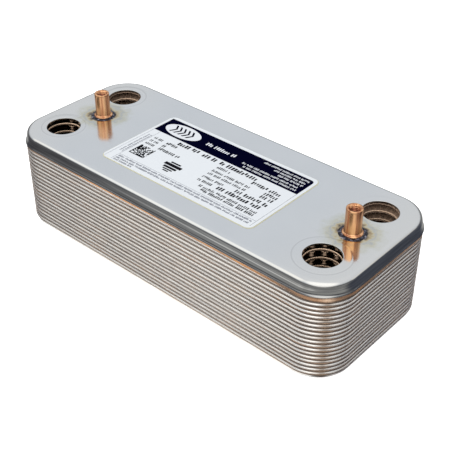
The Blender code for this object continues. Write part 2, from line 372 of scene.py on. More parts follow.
def printed(name, colour, speckle, roughness, specular):
    """A printed or plain film: a colour with faint mottling and a slightly uneven gloss."""
    made, tree, shader = new_material(name)
    gloss = grain(tree, 120.0, 2.0)
    connect(
        tree,
        shader,
        Base_Color=blend(tree, grain(tree, 1600.0, 3.0), colour, speckle),
        Roughness=remap(tree, gloss, 0.3, 0.7, roughness - 0.05, roughness + 0.05),
        Specular_IOR_Level=specular,
        Normal=bump(tree, grain(tree, 500.0, 2.0), 0.06, 0.05 * MM),
    )
    return made


def floor_white():
    """A pale floor that glows a little, so that it stays even and white."""
    made, tree, shader = new_material("floor_white")
    connect(
        tree,
        shader,
        Base_Color=blend(tree, grain(tree, 6.0, 2.0), (0.90, 0.90, 0.90), (0.93, 0.93, 0.93)),
        Roughness=0.9,
        Emission_Color=(1.0, 1.0, 1.0, 1.0),
        Emission_Strength=0.55,
    )
    return made


# ---- Mesh helpers ----
def spine():
    """Round the body: (corner centre x, y, outward x, y), anticlockwise from +X."""
    centre_x = LENGTH / 2 - CORNER_RADIUS
    centre_y = WIDTH / 2 - CORNER_RADIUS
    sides = ((1, 1), (-1, 1), (-1, -1), (1, -1))
    made = []
    for quarter, (side_x, side_y) in enumerate(sides):
        for step in range(CORNER_STEPS + 1):
            angle = math.pi / 2 * (quarter + step / CORNER_STEPS)
            made.append((side_x * centre_x, side_y * centre_y, math.cos(angle), math.sin(angle)))
        next_x, next_y = sides[(quarter + 1) % 4]
        steps = SHORT_STEPS if quarter % 2 else LONG_STEPS
        for step in range(1, steps):
            share = step / steps
            x = centre_x * (side_x + (next_x - side_x) * share)
            y = centre_y * (side_y + (next_y - side_y) * share)
            made.append((x, y, math.cos(angle), math.sin(angle)))
    return made


SPINE = spine()


def uneven(x, y, size, seed):
    """Smooth noise from -1 to 1, in lumps of a size. Each seed is a far-off layer of the same noise."""
    return noise.noise(Vector((x / size, y / size, 17.0 * seed)))


def ring(bm, inset, z, wave, seed=0):
    """A closed loop of vertices round the body, moved in by inset and waved: (how far, how long a wave)."""
    depth, size = wave
    verts = []
    for x, y, out_x, out_y in SPINE:
        reach = CORNER_RADIUS - inset
        reach += depth * uneven(x + out_x * reach, y + out_y * reach, size, seed)
        verts.append(bm.verts.new((x + out_x * reach, y + out_y * reach, z)))
    return verts


def circle(bm, x, y, radius, z, steps=PORT_STEPS):
    """A closed loop of vertices round an upright axis."""
    angles = (2 * math.pi * step / steps for step in range(steps))
    return [bm.verts.new((x + radius * math.cos(a), y + radius * math.sin(a), z)) for a in angles]


def skin(bm, loops, closed=False):
    """Quads between each loop and the next."""
    pairs = list(zip(loops, loops[1:]))
    if closed:
        pairs.append((loops[-1], loops[0]))
    for first, second in pairs:
        for corner in range(len(first)):
            bm.faces.new((first[corner - 1], first[corner], second[corner], second[corner - 1]))


def skin_grid(bm, grid):
    """Quads between a grid's rows. Returns the loop round its outside."""
    for lower, upper in zip(grid, grid[1:]):
        for column in range(len(lower) - 1):
            bm.faces.new((lower[column], lower[column + 1], upper[column + 1], upper[column]))
    right = [row[-1] for row in grid[1:-1]]
    left = [row[0] for row in grid[1:-1]]
    return grid[0] + right + grid[-1][::-1] + left[::-1]


def edges_of(bm, verts):
    """The edges of a closed loop, made where they don't exist yet."""
    pairs = zip(verts, verts[1:] + verts[:1])
    return [bm.edges.get(pair) or bm.edges.new(pair) for pair in pairs]


def fill(bm, *loops):
    """Triangles across a flat region with holes."""
    edges = [edge for loop in loops for edge in edges_of(bm, loop)]
    bmesh.ops.triangle_fill(bm, use_beauty=True, use_dissolve=False, edges=edges)


def into_scene(name, data):
    """A new object with this mesh, light or camera."""
    made = bpy.data.objects.new(name, data)
    bpy.context.scene.collection.objects.link(made)
    return made


def mesh_object(name, bm, material):
    mesh = bpy.data.meshes.new(name)
    bm.to_mesh(mesh)
    bm.free()
    mesh.materials.append(material)
    return into_scene(name, mesh)


def piece(name, bm, material, slot, *nodes, sharp):
    """Makes the mesh a piece that rides on the body and stands for its CAD nodes."""
    bmesh.ops.recalc_face_normals(bm, faces=bm.faces)
    obj = mesh_object(name, bm, material)
    obj.data.shade_smooth()
    obj.data.set_sharp_from_angle(angle=math.radians(sharp))
    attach(obj, BODY)
    if nodes:
        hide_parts(*nodes)
    return obj


def arc(centre, radius, start, end, steps):
    """Points of an arc in a section, as (inset, z); angles in degrees from outward, towards up."""
    made = []
    for step in range(steps + 1):
        angle = math.radians(start + (end - start) * step / steps)
        made.append((centre[0] - radius * math.cos(angle), centre[1] + radius * math.sin(angle)))
    return made


SKIRT_ANGLE = math.degrees(math.atan(SLOPE))


def bent_corner(lip_inset, lip_z, top_z, radius, steps):
    """The arc from a flat top, round into a skirt that slopes from the lip."""
    turn = math.radians(90 - SKIRT_ANGLE)
    inset = lip_inset + SLOPE * (top_z - lip_z) + radius * math.tan(turn / 2)
    return arc((inset, top_z - radius), radius, 90, SKIRT_ANGLE, steps)


# ---- Cover ----
SEAT_RADIUS = 11.6 * MM
RIM_ROUND = 0.16 * MM
SUPPORT = 0.5 * MM
LIP_FLARE = 0.31 * MM
FLARE_HEIGHT = 0.72 * MM
INNER_INSET = 0.97 * MM
LIP_ROUND = 0.28 * MM
DRAW_LINE_Z = 2.5 * MM
DRAW_LINE_DEPTH = 0.05 * MM
DRAW_LINE_WIDTH = 0.3 * MM
COVER_WAVE = (0.05 * MM, 60 * MM)
# Heights above the lip, in millimetres, at which the skirt's section has a point.
SKIRT_LEVELS = (3.8, 3.2, 2.8, 2.5, 2.2, 1.8, 1.45, 1.2, 1.0, 0.85, 0.7, 0.58, 0.46, 0.36)


def port_centres():
    return [(sx * PORT_X, sy * PORT_Y) for sx in (-1, 1) for sy in (-1, 1)]


def cover_skirt(outer):
    """The cover's skirt from the bend down to the lip, as (inset, height above the lip)."""
    shift = LIP_FLARE if outer else INNER_INSET
    made = []
    for level in SKIRT_LEVELS:
        z = level * MM
        flare = LIP_FLARE * math.exp(-(((z - LIP_ROUND) / FLARE_HEIGHT) ** 2)) if outer else 0.0
        line = DRAW_LINE_DEPTH * math.exp(-(((z - DRAW_LINE_Z) / DRAW_LINE_WIDTH) ** 2))
        made.append((shift + SLOPE * z - flare + line, COVER_LIP_Z + z))
    return made


def port_edge(under_z):
    """A port's section, from the cover's top over the gasket seat and down the hole, as (radius, z)."""
    seat_z = COVER_TOP_Z + SEAT_RISE * 0.6
    return (
        (SEAT_RADIUS + 0.6 * MM, COVER_TOP_Z),
        (SEAT_RADIUS + 0.3 * MM, COVER_TOP_Z),
        (SEAT_RADIUS, COVER_TOP_Z + SEAT_RISE * 0.25),
        (SEAT_RADIUS - 0.3 * MM, seat_z),
        (SEAT_RADIUS - 0.6 * MM, seat_z),
        (PORT_RADIUS + 2 * RIM_ROUND, seat_z),
        (PORT_RADIUS + RIM_ROUND, seat_z),
        (PORT_RADIUS + 0.3 * RIM_ROUND, seat_z - 0.3 * RIM_ROUND),
        (PORT_RADIUS, seat_z - RIM_ROUND),
        (PORT_RADIUS, under_z + RIM_ROUND),
        (PORT_RADIUS + 0.3 * RIM_ROUND, under_z + 0.3 * RIM_ROUND),
        (PORT_RADIUS + RIM_ROUND, under_z),
        (PORT_RADIUS + 3 * RIM_ROUND, under_z),
    )


def build_cover(material):
    """The drawn cap: one closed shell with four ports."""
    bm = bmesh.new()
    outer = bent_corner(LIP_FLARE, COVER_LIP_Z, COVER_TOP_Z, COVER_BEND, 14)
    under_z = COVER_TOP_Z - COVER_SHEET
    inner = bent_corner(INNER_INSET, COVER_LIP_Z, under_z, COVER_BEND - COVER_SHEET, 6)
    lip = arc((0.3 * MM, COVER_LIP_Z + LIP_ROUND), LIP_ROUND, 0, -90, 4)
    lip += arc((COVER_SHEET - 0.2 * MM, COVER_LIP_Z + LIP_ROUND), LIP_ROUND, -90, -180, 3)
    flat_inset = outer[0][0] + SUPPORT
    section = [(flat_inset, COVER_TOP_Z)] + outer + cover_skirt(True) + lip
    section += cover_skirt(False)[::-1] + inner[::-1] + [(inner[0][0] + SUPPORT, under_z)]
    loops = [ring(bm, inset, z, COVER_WAVE) for inset, z in section]
    skin(bm, loops)
    top_holes, under_holes = [], []
    for x, y in port_centres():
        circles = [circle(bm, x, y, radius, z) for radius, z in port_edge(under_z)]
        skin(bm, circles)
        top_holes.append(circles[0])
        under_holes.append(circles[-1])
    fill(bm, loops[0], *top_holes)
    fill(bm, loops[-1], *under_holes)
    piece("cover_shell", bm, material, "stainless_steel", "cover_plate", sharp=60)


# ---- Channel trays ----
BEAD_HEIGHT = 0.48 * MM
BEAD_SPREAD = 0.41 * MM
BEAD_DEPTH = 0.21 * MM
HOLLOW_HEIGHT = 1.25 * MM
HOLLOW_SPREAD = 0.35 * MM
HOLLOW_DEPTH = 0.05 * MM
CURL_HEIGHT = 0.16 * MM
CURL_DEPTH = 0.10 * MM
TRAY_WAVE = (0.035 * MM, 18 * MM)
ALTERNATE = 0.03 * MM
# Heights above the lip's edge, in millimetres, at which the skirt's section has a point.
TRAY_LEVELS = (3.4, 2.6, 2.1, 1.75, 1.45, 1.2, 1.0, 0.84, 0.7, 0.58, 0.46, 0.34, 0.22, 0.11, 0.0)
PATCH_RADIUS = 13.0 * MM
RING_RADIUS = 9.7 * MM
RING_FOOT = 12.4 * MM
DIMPLE_RADIUS = 10.9 * MM
DIMPLE_SIZE = 2.15 * MM
DIMPLE_RISE = 1.58 * MM
DIMPLE_STEPS = 12
FLUTE_DEPTH = 0.85 * MM
FLUTE_RADIUS = 10.2 * MM
FLUTE_SPREAD = 1.6 * MM
CONTACT_RADIUS = 1.55 * MM
FIELD_LENGTH = 112 * MM
FIELD_HALF_WIDTH = 31.5 * MM
FOLD_PITCH = 3.6 * MM
FOLD_SWEEP = 18 * MM


def ease(value, low, high):
    """0 at low and 1 at high, smooth between."""
    share = min(max((value - low) / (high - low), 0.0), 1.0)
    return share * share * (3 - 2 * share)


def band_offset(height, proud):
    """How far a tray's skirt stands out from its plain slope: a bead above the lip, hollow over it."""
    bead = BEAD_DEPTH * math.exp(-(((height - BEAD_HEIGHT) / BEAD_SPREAD) ** 2))
    hollow = HOLLOW_DEPTH * math.exp(-(((height - HOLLOW_HEIGHT) / HOLLOW_SPREAD) ** 2))
    curl = CURL_DEPTH * ease(-height, -CURL_HEIGHT, 0.0)
    return bead - hollow - curl + proud * (1 - ease(height, 0.5 * MM, 1.6 * MM))


def dimple_angles(inward):
    """The directions of a port's dimples: only the side that faces the plate's middle has them."""
    step = 2 * math.pi / DIMPLE_STEPS
    angles = [number * step for number in range(DIMPLE_STEPS)]
    return [a for a in angles if abs((a - inward + math.pi) % (2 * math.pi) - math.pi) < math.radians(115)]


def patch_height(radius, angle, rise, dimples, fluted):
    """A port's surroundings: a ring pressed up or down, with flutes or dimples the other way."""
    height = rise * HALF_PRESS * (1 - ease(radius, RING_RADIUS, RING_FOOT))
    if fluted:
        belt = math.exp(-(((radius - FLUTE_RADIUS) / FLUTE_SPREAD) ** 2))
        return height - rise * FLUTE_DEPTH * belt * (0.5 + 0.5 * math.cos(2 * DIMPLE_STEPS * angle))
    for centre in dimples:
        away = math.hypot(
            radius * math.cos(angle) - DIMPLE_RADIUS * math.cos(centre),
            radius * math.sin(angle) - DIMPLE_RADIUS * math.sin(centre),
        )
        cup = 1 - ease(away, 0.52 * DIMPLE_SIZE, DIMPLE_SIZE)
        height += cup * (-rise * (DIMPLE_RISE - HALF_PRESS) - height)
    return height


def add_patch(bm, x, y, floor_z, fluted):
    """The grid round one port; returns its outer loop."""
    rise = math.copysign(1, y)
    dimples = dimple_angles(math.atan2(-y, -x))
    radii = [PORT_RADIUS + (PATCH_RADIUS - PORT_RADIUS) * step / 12 for step in range(13)]
    loops = []
    for radius in radii:
        loop = []
        for step in range(PORT_STEPS):
            angle = 2 * math.pi * step / PORT_STEPS
            z = floor_z + patch_height(radius, angle, rise, dimples, fluted)
            loop.append(bm.verts.new((x + radius * math.cos(angle), y + radius * math.sin(angle), z)))
        loops.append(loop)
    skin(bm, loops)
    return loops[-1]


def add_field(bm, floor_z):
    """The herringbone: rounded folds swept back on both sides of the centre line. Returns its outer loop."""
    columns = int(round((FIELD_LENGTH - FOLD_SWEEP) / FOLD_PITCH)) * 4
    rows = 12
    grid = []
    for row in range(rows + 1):
        y = FIELD_HALF_WIDTH * (2 * row / rows - 1)
        sweep = FOLD_SWEEP * abs(y) / FIELD_HALF_WIDTH
        line = []
        for column in range(columns + 1):
            x = -FIELD_LENGTH / 2 + FOLD_SWEEP + (FIELD_LENGTH - FOLD_SWEEP) * column / columns - sweep
            edge = min(row, rows - row) > 0 and min(column, columns - column) > 0
            z = HALF_PRESS * math.sin(math.pi * column / 2) if edge else 0.0
            line.append(bm.verts.new((x, y, floor_z + z)))
        grid.append(line)
    return skin_grid(bm, grid)


def build_tray(number, material):
    """One channel plate. Each second one is turned half a turn, and stands a little less proud."""
    bm = bmesh.new()
    proud = ALTERNATE if number % 2 else -ALTERNATE
    heights = [level * MM for level in TRAY_LEVELS]
    bend = bent_corner(PLATE_INSET, 0.0, PLATE_FLOOR, PLATE_BEND, 5)
    section = [(bend[0][0] + 0.3 * MM, PLATE_FLOOR)] + bend
    section += [(PLATE_INSET + SLOPE * h - band_offset(h, proud), h) for h in heights]
    loops = [ring(bm, inset, z, TRAY_WAVE, number) for inset, z in section]
    skin(bm, loops)
    rear = 1 if number % 2 else -1
    outlines = [add_patch(bm, x, y, PLATE_FLOOR, y * rear > 0) for x, y in port_centres()]
    fill(bm, loops[0], add_field(bm, PLATE_FLOOR), *outlines)
    if number % 2 == 0:
        bmesh.ops.rotate(bm, verts=bm.verts, matrix=Matrix.Rotation(math.pi, 3, "Z"))
    bmesh.ops.translate(bm, verts=bm.verts, vec=(0, 0, number * PITCH))
    name = f"channel_plate_{number:02d}"
    obj = piece(f"tray_{number:02d}", bm, material, "stainless_steel", name, sharp=60)
    flip_if_down(obj)
    sheet = obj.modifiers.new("Sheet", "SOLIDIFY")
    sheet.thickness = PLATE_SHEET * 0.9
    sheet.offset = -1.0


def flip_if_down(obj):
    """An open sheet's outer side is the one that faces up and out."""
    highest = max(obj.data.polygons, key=lambda face: face.area * abs(face.normal.z))
    if highest.normal.z < 0:
        obj.data.flip_normals()


# ---- End tray ----
END_BEND = 2.0 * MM
END_WAVE = (0.03 * MM, 30 * MM)
FOOT_ROUND = 0.3 * MM


def build_end_tray(material):
    """The blind tray that closes the stack underneath and stands on its rim."""
    bm = bmesh.new()
    foot_inset = PLATE_INSET + SLOPE * PITCH
    outer = bent_corner(foot_inset, PITCH, END_FLOOR, END_BEND, 8)
    inner = bent_corner(foot_inset + END_SHEET, PITCH, END_FLOOR - END_SHEET, END_BEND - END_SHEET, 5)
    low_outer = [(foot_inset + 0.06 * MM, PITCH * 1.1), (foot_inset, PITCH * 0.9), (foot_inset, 0.5 * MM)]
    foot = arc((foot_inset + FOOT_ROUND, FOOT_ROUND), FOOT_ROUND, 0, -90, 4)
    foot += arc((foot_inset + END_SHEET - FOOT_ROUND, FOOT_ROUND), FOOT_ROUND, -90, -180, 4)
    low_inner = [(foot_inset + END_SHEET, 0.5 * MM), (foot_inset + END_SHEET, PITCH * 0.9)]
    section = [(outer[0][0] + SUPPORT, END_FLOOR)] + outer + low_outer + foot + low_inner
    section += inner[::-1] + [(inner[0][0] + SUPPORT, END_FLOOR - END_SHEET)]
    loops = [ring(bm, inset, z, END_WAVE, 40) for inset, z in section]
    skin(bm, loops)
    fill(bm, loops[0])
    fill(bm, loops[-1])
    piece("end_tray", bm, material, "stainless_steel", "end_plate", sharp=60)


# ---- Braze ----
# The copper under the cover's lip ran down over the top plate's lip and coats it, as (inset, depth) in mm.
COAT = (
    (0.22, 0.0),
    (0.40, 0.30),
    (0.58, 0.62),
    (0.66, 0.92),
    (0.58, 1.18),
    (0.42, 1.42),
    (0.32, 1.64),
    (0.34, 1.82),
    (0.46, 1.98),
)
COAT_BACK = 0.75 * MM
COAT_ROOT = 1.05 * MM
COAT_LIFT = 0.03 * MM
COAT_REACH = 45 * MM
FILLET_HEIGHT = 0.62 * MM
FILLET_DEPTH = 0.70 * MM
FILLET_LIFT = 0.04 * MM
FILLET_HOLLOW = 0.55
FILLET_STEPS = 6
FILLET_WAVE = (0.05 * MM, 5 * MM)


def coat_section(lip_z):
    """The broad coat under the cover's lip, as (inset, z)."""
    top = lip_z + COAT_LIFT
    section = [(inset * MM, top - depth * MM) for inset, depth in COAT]
    return section + [(COAT_BACK, section[-1][1]), (COAT_ROOT, top)]


def fillet_section(lip_z):
    """The hollow fillet in the corner between a lip and the skirt that it stands over, as (inset, z)."""
    skirt = PLATE_INSET + SLOPE * PITCH
    front = skirt - FILLET_DEPTH
    toe = skirt - SLOPE * FILLET_HEIGHT
    top = lip_z + FILLET_LIFT
    section = []
    for step in range(FILLET_STEPS + 1):
        share = step / FILLET_STEPS
        drop = (FILLET_HEIGHT + FILLET_LIFT) * share
        section.append((front + (toe - front) * share**FILLET_HOLLOW, top - drop))
    return section + [(toe + 0.12 * MM, lip_z - FILLET_HEIGHT), (skirt + 0.1 * MM, top)]


def thin_out(bm, lip_z):
    """Makes the coat shallower, with a wavy edge, the further it is from the near right corner."""
    for vert in bm.verts:
        x, y, z = vert.co
        away = math.hypot(x - LENGTH / 2, y + WIDTH / 2)
        run = 0.50 + 0.50 * math.exp(-((away / COAT_REACH) ** 2)) + 0.06 * uneven(x, y, 9 * MM, 3)
        vert.co.z = lip_z - (lip_z - z) * run


def build_fillet(number, material):
    """The copper under a lip, and the beads where the same foil closed the joints at the ports."""
    lip_z = number * PITCH
    under_cover = number > PLATE_COUNT
    section = coat_section(lip_z) if under_cover else fillet_section(lip_z)
    bm = bmesh.new()
    loops = [ring(bm, inset, z, FILLET_WAVE, 60 + number) for inset, z in section]
    if under_cover:
        thin_out(bm, lip_z)
    skin(bm, loops, closed=True)
    if 1 < number <= PLATE_COUNT:
        add_port_beads(bm, number)
    name = f"braze_seam_{number:02d}"
    piece(f"fillet_{number:02d}", bm, material, "braze_copper", name, sharp=70)


JOINT_TUBE = 0.26 * MM
JOINT_RADIUS = PORT_RADIUS + 0.14 * MM
CONTACT_TUBE = 0.27 * MM
CONTACT_RISE = 0.9 * MM
CONTACT_STEPS = 32
TUBE_STEPS = 8


def add_port_beads(bm, number):
    """Copper round the two ports where plates meet, and round the dimples' contacts at the front ones."""
    side = 1 if number % 2 == 0 else -1
    floor_z = (number - 1) * PITCH + PLATE_FLOOR
    joint_z = floor_z + PITCH - HALF_PRESS - 0.15 * MM
    contact_z = floor_z + CONTACT_RISE
    for x in (-PORT_X, PORT_X):
        add_port_bead(bm, x, side * PORT_Y, joint_z, JOINT_RADIUS, JOINT_TUBE, number)
        if side > 0:
            for angle in dimple_angles(math.atan2(PORT_Y, -x)):
                near_x = x + DIMPLE_RADIUS * math.cos(angle)
                near_y = -PORT_Y + DIMPLE_RADIUS * math.sin(angle)
                spot = (near_x, near_y, contact_z)
                add_port_bead(bm, *spot, CONTACT_RADIUS, CONTACT_TUBE, number, CONTACT_STEPS)


def add_port_bead(bm, x, y, z, radius, tube, seed, steps=PORT_STEPS):
    """A thin uneven ring of copper in a joint of two plates."""
    loops = []
    for turn in range(TUBE_STEPS):
        angle = 2 * math.pi * turn / TUBE_STEPS
        loops.append(circle(bm, x, y, radius + tube * math.cos(angle), z + tube * math.sin(angle), steps))
    for loop in loops:
        for vert in loop:
            vert.co.z += 0.05 * MM * uneven(vert.co.x, vert.co.y, 2 * MM, seed)
    skin(bm, loops, closed=True)


# ---- Studs ----
STUD_RADIUS = 3.55 * MM
STUD_STEPS = 96
FLANGE_HEIGHT = 0.95 * MM
FLANGE_ROUND = 0.35 * MM
BORE_RADIUS = 2.1 * MM
BORE_FLOOR = 3.0 * MM
MOUTH_RADIUS = 2.72 * MM
THREAD_TOP = 0.7 * MM
THREAD_PITCH = 0.8 * MM
THREAD_DEPTH = 0.32 * MM
THREAD_STEPS = 8
FLASH_INNER = 4.35 * MM
FLASH_HEIGHT = 0.66 * MM
FLASH_RINGS = 12
FLASH_STEPS = 160


def lathe(bm, x, y, profile, steps, shape):
    """Turns (radius, z) points about an upright line. shape(radius, z, angle) moves each point."""
    loops = []
    for radius, z in profile:
        loop = []
        for step in range(steps):
            angle = 2 * math.pi * step / steps
            reach, height = shape(radius, z, angle)
            loop.append(bm.verts.new((x + reach * math.cos(angle), y + reach * math.sin(angle), height)))
        loops.append(loop)
    skin(bm, loops)
    return loops


def stud_outside(flange, foot, top):
    """From the flange's foot, up the body and over the chamfer, as (radius, z)."""
    shoulder = foot + FLANGE_HEIGHT
    low = shoulder - FLANGE_ROUND
    made = [(flange, foot), (flange, low)]
    for angle in (0.5, 1.0):
        made.append((flange - 0.3 * MM * math.sin(angle), low + FLANGE_ROUND * math.sin(angle)))
    made += [(STUD_RADIUS + 0.5 * MM, shoulder + 0.02 * MM), (STUD_RADIUS + 0.25 * MM, shoulder + 0.12 * MM)]
    made += [(STUD_RADIUS + 0.08 * MM, shoulder + 0.35 * MM), (STUD_RADIUS, shoulder + 0.7 * MM)]
    made += [(STUD_RADIUS, foot + height * MM) for height in (4.0, 6.5, 9.0, 11.2)]
    made += [(STUD_RADIUS, top - 0.32 * MM), (STUD_RADIUS - 0.09 * MM, top - 0.12 * MM)]
    return made + [(STUD_RADIUS - 0.3 * MM, top)]


def stud_bore(foot, top):
    """From the end face in over the countersink and down the threaded bore, as (radius, z)."""
    made = [(MOUTH_RADIUS + 0.12 * MM, top), (MOUTH_RADIUS, top - 0.06 * MM)]
    made.append((BORE_RADIUS + 0.1 * MM, top - 0.62 * MM))
    start, floor = top - THREAD_TOP, foot + BORE_FLOOR
    steps = int((start - floor) / THREAD_PITCH * THREAD_STEPS)
    made += [(BORE_RADIUS, start - (start - floor) * step / steps) for step in range(steps + 1)]
    return made + [(BORE_RADIUS * 0.5, floor - 0.5 * MM), (0.02 * MM, floor - 1.0 * MM)]


def build_stud(side, material):
    low, high = STUD_BOXES[side]
    foot, top = COVER_TOP_Z, high.z

    def threaded(radius, z, angle):
        if radius != BORE_RADIUS:
            return radius, z
        phase = ((z - foot) / THREAD_PITCH - angle / (2 * math.pi)) % 1.0
        return radius + THREAD_DEPTH * (1 - abs(2 * phase - 1)), z

    bm = bmesh.new()
    profile = stud_outside((high.x - low.x) / 2, foot, top) + stud_bore(foot, top)
    loops = lathe(bm, *middle_of((low, high)), profile, STUD_STEPS, threaded)
    bm.faces.new(loops[0])
    bm.faces.new(loops[-1])
    piece(f"stud_{side}", bm, material, "stud_copper", f"weld_stud_{side}", sharp=50)


def build_flash(side, material, seed, lean):
    """The weld's flash: a lumpy collar, wider on the side that it leans to."""
    low, high = BEAD_BOXES[side]
    span = (high.x - low.x) / 2 - FLASH_INNER
    foot = COVER_TOP_Z - 0.02 * MM

    def lumpy(radius, z, angle):
        share = (radius - FLASH_INNER) / span
        at = Vector((math.cos(angle) * 3.2, math.sin(angle) * 3.2, seed + share))
        swell = 0.5 + 0.5 * noise.noise(at)
        small = noise.noise(at * 2.7) * 0.24
        width = 0.90 + 0.12 * swell + 0.08 * math.cos(angle - lean) + 0.5 * small * share
        height = (z - foot) * (0.66 + 0.45 * swell + small)
        return FLASH_INNER + span * share * min(width, 1.0), foot + height

    profile = [(FLASH_INNER, foot), (FLASH_INNER, foot + 0.7 * FLASH_HEIGHT)]
    for step in range(1, FLASH_RINGS + 1):
        share = step / FLASH_RINGS
        rise = FLASH_HEIGHT * math.cos(math.pi / 2 * share) ** 0.6
        profile.append((FLASH_INNER + span * share, foot + rise))
    bm = bmesh.new()
    loops = lathe(bm, *middle_of((low, high)), profile, FLASH_STEPS, lumpy)
    skin(bm, [loops[-1], loops[0]])
    piece(f"flash_{side}", bm, material, "weld_oxide", f"weld_bead_{side}", sharp=80)


# ---- Label ----
LABEL_X, LABEL_Y = middle_of((LABEL_LOW, LABEL_HIGH))
LABEL_HALF_X = (LABEL_HIGH.x - LABEL_LOW.x) / 2
LABEL_HALF_Y = (LABEL_HIGH.y - LABEL_LOW.y) / 2
LABEL_CORNER = 3.0 * MM
LABEL_TOP = LABEL_HIGH.z - 0.1 * MM
LABEL_ROWS = 40
CREASE_X = 4.6 * MM
CREASE_WIDTH = 1.3 * MM
CREASE_HEIGHT = 0.04 * MM
ADHESIVE_GROWTH = 0.35 * MM
ADHESIVE_SHIFT = 0.1 * MM
ADHESIVE_HEIGHT = 0.05 * MM
INK = 0.012 * MM

# From here on, places and sizes in the print are in millimetres from the body's centre.
BAND_LEFT, BAND_RIGHT = -42.5, 43.3
BAND_LOW, BAND_HIGH = 6.9, 20.0
BAND_CORNER = 1.8
BAND_ROWS, BAND_COLUMNS = 16, 120
BADGE_X, BADGE_Y = -29.6, 13.4
BADGE_HALF_X, BADGE_HALF_Y = 10.6, 5.2
BADGE_ROWS, BADGE_COLUMNS = 25, 12
CHEVRON_COUNT = 5
CHEVRON_START, CHEVRON_PITCH = -34.6, 2.6
CHEVRON_HALF_HEIGHT, CHEVRON_SWEEP, CHEVRON_WIDTH = 3.1, 1.8, 1.1
CODE_X, CODE_Y = -36.3, -15.9
CODE_ROWS, CODE_COLUMNS = 15, 16
CODE_CELL = 0.575
FRAME_LINE = 0.13

# Rows of print, as (start, end, foot, height, weight, longest first word).
WHITE_TEXT = (
    (-14.1, 3.9, 11.9, 2.4, 0.9, 5),
    (16.6, 41.8, 17.3, 1.3, 0.8, 6),
    (24.0, 41.8, 15.1, 1.3, 0.8, 6),
    (27.8, 41.8, 12.9, 1.3, 0.8, 6),
    (9.2, 41.8, 10.5, 1.3, 0.8, 6),
    (11.4, 41.8, 8.3, 1.3, 0.8, 6),
)
BLACK_TEXT = (
    (-24.1, -10.0, 3.2, 2.7, 1.15, 6),
    (-8.7, 0.3, 3.2, 2.7, 1.15, 6),
    (1.8, 25.2, 3.2, 2.7, 1.15, 12),
    (-36.3, -30.5, 0.3, 1.7, 0.7, 8),
    (-28.4, -20.4, 0.2, 2.0, 1.0, 9),
    (-36.3, -30.5, -2.7, 1.7, 0.7, 8),
    (-28.4, -25.6, -2.8, 2.0, 1.0, 9),
    (-36.3, -30.5, -5.6, 1.7, 0.7, 8),
    (-27.9, -14.1, -5.7, 2.0, 1.0, 9),
    (3.4, 12.0, 0.0, 1.8, 0.7, 7),
    (3.4, 25.3, -3.3, 1.7, 0.75, 7),
    (3.4, 25.3, -6.1, 1.7, 0.75, 7),
    (3.4, 15.6, -9.6, 1.7, 0.75, 7),
    (3.4, 13.2, -12.7, 1.7, 0.8, 7),
    (23.1, 40.4, 0.3, 2.3, 0.9, 7),
    (32.6, 40.4, -2.7, 2.2, 0.9, 7),
    (32.6, 40.4, -5.5, 2.2, 0.9, 7),
    (21.9, 40.4, -9.4, 2.4, 0.9, 7),
    (14.4, 40.4, -12.8, 2.5, 1.25, 7),
    (7.2, 40.4, -16.1, 1.7, 0.8, 7),
    (10.0, 40.4, -18.3, 1.8, 1.0, 7),
)
FINE_TEXT = (
    (-37.2, 42.0, -21.6, 1.15, 0.9, 9),
    (-37.2, 42.0, -23.4, 1.15, 0.9, 9),
    (-37.2, -25.0, -25.0, 1.15, 0.9, 9),
)
UPRIGHT_TEXT = (
    (-17.5, 2.2, 40.0, 0.9, 0.8, 9),
    (-17.5, 2.2, 38.5, 0.9, 0.8, 9),
)
# Blocks that are printed whole, as (left, low, right, high).
PLAIN_MARK = (
    (-17.2, -12.4, -7.2, -10.4),
    (-15.2, -9.9, -9.4, -8.9),
    (-16.0, -14.3, -8.4, -12.9),
    (-15.0, -15.6, -9.4, -14.8),
    (-13.8, -16.9, -10.6, -16.1),
)
FRAME_LINES = (
    (BAND_LEFT, -25.2, BAND_LEFT + FRAME_LINE, BAND_LOW),
    (BAND_RIGHT - FRAME_LINE, -24.0, BAND_RIGHT, BAND_LOW),
    (-38.2, -25.2, -38.2 + FRAME_LINE, BAND_LOW),
    (-38.2, -19.8, BAND_RIGHT, -19.8 + FRAME_LINE),
)


def film_height(x, y):
    """The film's surface: almost flat, with one soft crease across its upper part."""
    ripple = 0.02 * MM * uneven(x, y, 14 * MM, 5)
    crease = CREASE_HEIGHT * math.exp(-(((x - CREASE_X) / CREASE_WIDTH) ** 2))
    return LABEL_TOP + ripple + crease * ease(y, 2 * MM, 9 * MM)


def print_height(layers):
    """The surface of print that is this many layers thick."""
    return lambda x, y: film_height(x, y) + layers * INK


def corner_pull(y, top, corner):
    """How far a round corner pulls in an outline's side at the height y."""
    over = max(y - (top - corner), 0.0)
    return corner - math.sqrt(max(corner * corner - over * over, 0.0))


def rounded_rows(x, y, half_x, half_y, corner, columns):
    """A grid over a rectangle with round corners, as rows of points."""
    made = []
    for row in range(LABEL_ROWS + 1):
        up = -half_y * math.cos(math.pi * row / LABEL_ROWS)
        reach = half_x - corner_pull(abs(up), half_y, corner)
        made.append([(x + reach * (2 * column / columns - 1), y + up) for column in range(columns + 1)])
    return made


def add_sheet(bm, rows, height, thickness):
    """A closed thin sheet over a grid of points."""
    top = [[bm.verts.new((x, y, height(x, y))) for x, y in row] for row in rows]
    low = [[bm.verts.new((x, y, height(x, y) - thickness)) for x, y in row] for row in rows]
    skin(bm, [skin_grid(bm, top), skin_grid(bm, low)])


def label_piece(name, bm, material):
    """A piece on or under the film, which stands for no CAD node of its own."""
    piece(name, bm, material, "label_film", sharp=30)


